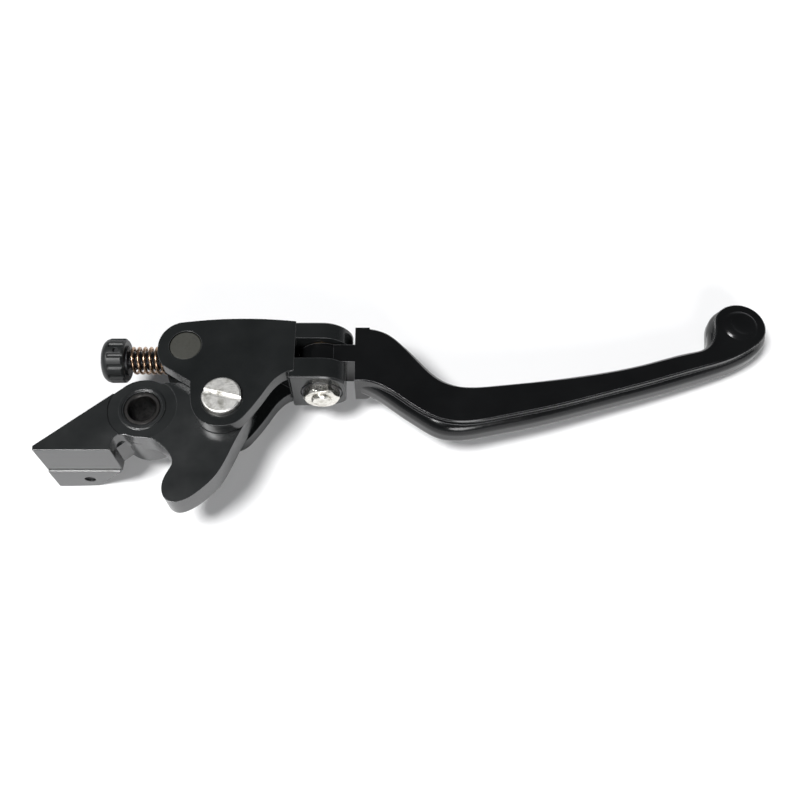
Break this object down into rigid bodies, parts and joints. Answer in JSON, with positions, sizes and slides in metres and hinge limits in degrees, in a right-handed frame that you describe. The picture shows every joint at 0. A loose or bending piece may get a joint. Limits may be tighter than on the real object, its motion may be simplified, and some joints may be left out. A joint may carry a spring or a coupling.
{
  "type": "clutch lever",
  "caption": "Folding, reach-adjustable motorcycle clutch lever: pivot block with beak and hook, forked carrier with screw adjuster, hinged blade with a ball end.",
  "frame": {"origin": "axis of the pivot bore at the middle plane of the lever", "axes": "+X along the lever to the ball end, +Y away from the handlebar, +Z along the pivot bore, out of the face with the slotted screw"},
  "size_m": [0.2187, 0.0655, 0.0332],
  "materials": {
    "black_anodised": "black anodised, satin, fine milling lines on the edges",
    "blade_gloss": "black anodised, polished",
    "knob_black": "black anodised, satin",
    "trunnion_metal": "dark phosphated",
    "bright_steel": "turned",
    "stainless": "bright zinc or stainless",
    "dark_steel": "blackened, lightly oiled",
    "bronze": "sintered bronze",
    "spring_wire": "brown oil-tempered wire"
  },
  "bodies": {
    "pivot_block": {"pivot_block": "black_anodised", "pivot_bush": "bright_steel", "pivot_sleeve": "dark_steel", "thrust_pad": "dark_steel", "switch_screw": "dark_steel"},
    "carrier": {"carrier": "black_anodised", "carrier_screw": "stainless", "carrier_nut": "stainless", "thrust_washers": "bronze", "hinge_bolt": "stainless", "hinge_nut": "stainless", "hinge_washer": "stainless", "plunger_body": "dark_steel", "plunger_ball": "dark_steel", "plunger_spring": "dark_steel"},
    "trunnion": {"trunnion": "trunnion_metal", "seat_washer": "dark_steel", "adjuster_spring": "spring_wire"},
    "spring_seat": {"knob_washer": "dark_steel"},
    "knob": {"adjuster_knob": "knob_black", "adjuster_screw": "dark_steel", "screw_clip": "dark_steel", "knob_pin": "dark_steel"},
    "blade": {"blade": "blade_gloss", "hinge_bushes": "bronze"}
  },
  "joints": [
    {"name": "reach_adjust", "type": "hinge", "parent": "pivot_block", "child": "carrier", "pos_m": [0.0243, 0.0008, 0], "axis": [0, 0, 1], "range_deg": [-5, 6]},
    {"name": "trunnion_swivel", "type": "hinge", "parent": "carrier", "child": "trunnion", "pos_m": [0.012, 0.0182, 0], "axis": [0, 0, 1], "range_deg": [-6.5, 5.5]},
    {"name": "screw_advance", "type": "slide", "parent": "trunnion", "child": "spring_seat", "axis": [1, 0, 0], "range_m": [-0.0017, 0.002], "deforming": ["adjuster_spring"]},
    {"name": "knob_turn", "type": "hinge", "parent": "spring_seat", "child": "knob", "pos_m": [-0.0108, 0.0182, 0], "axis": [1, 0, 0], "range_deg": [-600, 700]},
    {"name": "blade_fold", "type": "hinge", "parent": "carrier", "child": "blade", "pos_m": [0.0523, 0.01745, 0], "axis": [0, -1, 0], "range_deg": [0, 90]}
  ],
  "couplings": [
    {"joint": "trunnion_swivel", "follows": "reach_adjust", "ratio": -1},
    {"joint": "screw_advance", "follows": "reach_adjust", "m_per_rad": 0.0174},
    {"joint": "knob_turn", "follows": "reach_adjust", "ratio": 109.33}
  ]
}
